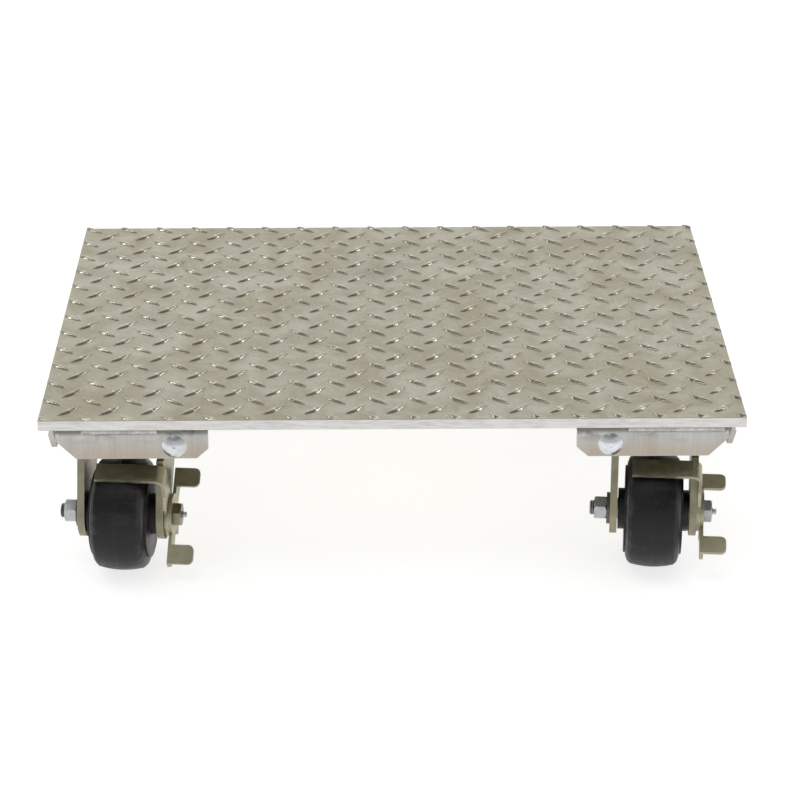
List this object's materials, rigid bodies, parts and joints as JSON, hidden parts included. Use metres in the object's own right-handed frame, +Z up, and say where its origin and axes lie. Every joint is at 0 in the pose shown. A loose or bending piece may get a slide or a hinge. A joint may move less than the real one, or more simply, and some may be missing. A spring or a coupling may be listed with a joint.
{
  "type": "platform truck",
  "caption": "Low platform truck: aluminium tread-plate deck on bent corner brackets and swivel casters, with foot brakes at the front",
  "frame": {"origin": "on the floor under the middle of the deck", "axes": "+X along the long side to the right seen from the front, +Y to the rear, +Z up"},
  "size_m": [0.6096, 0.4876, 0.1584],
  "materials": {
    "mill_aluminium": "mill-finish tread plate, stained and scuffed",
    "brushed_aluminium": "brushed sheet with heat tint near the welds",
    "weld_aluminium": "as-welded, dull and rippled",
    "bright_zinc": "clear zinc plate",
    "yellow_zinc_steel": "yellow chromate zinc plate, olive in places",
    "bearing_steel": "hardened and greased",
    "dark_steel": "plain dark steel",
    "moulded_wheel": "hard black moulding, lightly scuffed"
  },
  "bodies": {
    "frame": {"bracket_front_left": "brushed_aluminium", "bracket_front_right": "brushed_aluminium", "bracket_rear_left": "brushed_aluminium", "bracket_rear_right": "brushed_aluminium", "carriage_bolts": "bright_zinc", "carriage_nuts": "bright_zinc", "carriage_washers": "bright_zinc", "caster_bolts": "bright_zinc", "deck_plate": "mill_aluminium", "kingpin_nuts": "bright_zinc", "kingpins": "bright_zinc", "lock_washers": "bright_zinc", "swivel_balls_front_left": "bearing_steel", "swivel_balls_front_right": "bearing_steel", "swivel_balls_rear_left": "bearing_steel", "swivel_balls_rear_right": "bearing_steel", "thrust_washers": "bright_zinc", "top_plate_front_left": "yellow_zinc_steel", "top_plate_front_right": "yellow_zinc_steel", "top_plate_rear_left": "yellow_zinc_steel", "top_plate_rear_right": "yellow_zinc_steel", "weld_beads": "weld_aluminium"},
    "fork_front_left": {"fork_front_left": "yellow_zinc_steel", "spanner_bushing_front_left": "bearing_steel", "axle_bolt_front_left": "yellow_zinc_steel", "axle_nut_front_left": "bright_zinc", "axle_washer_front_left": "dark_steel", "grease_fitting_front_left": "bright_zinc"},
    "wheel_front_left": {"wheel_front_left": "moulded_wheel", "bearing_rollers_front_left": "bearing_steel"},
    "lever_front_left": {"brake_lever_front_left": "yellow_zinc_steel"},
    "shoe_front_left": {"brake_shoe_front_left": "yellow_zinc_steel"},
    "fork_front_right": {"fork_front_right": "yellow_zinc_steel", "spanner_bushing_front_right": "bearing_steel", "axle_bolt_front_right": "bright_zinc", "axle_nut_front_right": "bright_zinc", "axle_washer_front_right": "dark_steel", "grease_fitting_front_right": "bright_zinc"},
    "wheel_front_right": {"wheel_front_right": "moulded_wheel", "bearing_rollers_front_right": "bearing_steel"},
    "lever_front_right": {"brake_lever_front_right": "yellow_zinc_steel"},
    "shoe_front_right": {"brake_shoe_front_right": "yellow_zinc_steel"},
    "fork_rear_left": {"fork_rear_left": "yellow_zinc_steel", "spanner_bushing_rear_left": "bearing_steel", "axle_bolt_rear_left": "bright_zinc", "axle_nut_rear_left": "bright_zinc", "axle_washer_rear_left": "dark_steel", "grease_fitting_rear_left": "bright_zinc"},
    "wheel_rear_left": {"wheel_rear_left": "moulded_wheel", "bearing_rollers_rear_left": "bearing_steel"},
    "fork_rear_right": {"fork_rear_right": "yellow_zinc_steel", "spanner_bushing_rear_right": "bearing_steel", "axle_bolt_rear_right": "bright_zinc", "axle_nut_rear_right": "bright_zinc", "axle_washer_rear_right": "dark_steel", "grease_fitting_rear_right": "bright_zinc"},
    "wheel_rear_right": {"wheel_rear_right": "moulded_wheel", "bearing_rollers_rear_right": "bearing_steel"}
  },
  "joints": [
    {"name": "swivel_front_left", "type": "hinge", "parent": "frame", "child": "fork_front_left", "pos_m": [-0.2343, -0.1581, 0.129], "axis": [0, 0, 1], "continuous": true},
    {"name": "wheel_spin_front_left", "type": "hinge", "parent": "fork_front_left", "child": "wheel_front_left", "pos_m": [-0.23747, -0.19296, 0.0508], "axis": [0.9959, -0.0906, 0], "continuous": true},
    {"name": "brake_lever_front_left", "type": "hinge", "parent": "fork_front_left", "child": "lever_front_left", "pos_m": [-0.23747, -0.19296, 0.0508], "axis": [-0.9959, 0.0906, 0], "range_deg": [0, 20]},
    {"name": "brake_shoe_front_left", "type": "slide", "parent": "fork_front_left", "child": "shoe_front_left", "axis": [-0.0397, -0.4366, 0.8988], "range_m": [0, 0.0022]},
    {"name": "swivel_front_right", "type": "hinge", "parent": "frame", "child": "fork_front_right", "pos_m": [0.2343, -0.1581, 0.129], "axis": [0, 0, 1], "continuous": true},
    {"name": "wheel_spin_front_right", "type": "hinge", "parent": "fork_front_right", "child": "wheel_front_right", "pos_m": [0.23113, -0.19296, 0.0508], "axis": [0.9959, -0.0906, 0], "continuous": true},
    {"name": "brake_lever_front_right", "type": "hinge", "parent": "fork_front_right", "child": "lever_front_right", "pos_m": [0.23113, -0.19296, 0.0508], "axis": [0.9959, -0.0906, 0], "range_deg": [0, 20]},
    {"name": "brake_shoe_front_right", "type": "slide", "parent": "fork_front_right", "child": "shoe_front_right", "axis": [0.0397, 0.4366, -0.8988], "range_m": [0, 0.0022]},
    {"name": "swivel_rear_left", "type": "hinge", "parent": "frame", "child": "fork_rear_left", "pos_m": [-0.2343, 0.1581, 0.129], "axis": [0, 0, 1], "continuous": true},
    {"name": "wheel_spin_rear_left", "type": "hinge", "parent": "fork_rear_left", "child": "wheel_rear_left", "pos_m": [-0.23113, 0.19296, 0.0508], "axis": [-0.9959, 0.0906, 0], "continuous": true},
    {"name": "swivel_rear_right", "type": "hinge", "parent": "frame", "child": "fork_rear_right", "pos_m": [0.2343, 0.1581, 0.129], "axis": [0, 0, 1], "continuous": true},
    {"name": "wheel_spin_rear_right", "type": "hinge", "parent": "fork_rear_right", "child": "wheel_rear_right", "pos_m": [0.23747, 0.19296, 0.0508], "axis": [-0.9959, 0.0906, 0], "continuous": true}
  ],
  "couplings": [
    {"joint": "brake_shoe_front_left", "follows": "brake_lever_front_left", "m_per_rad": 0.0063034},
    {"joint": "brake_shoe_front_right", "follows": "brake_lever_front_right", "m_per_rad": 0.0063034}
  ]
}
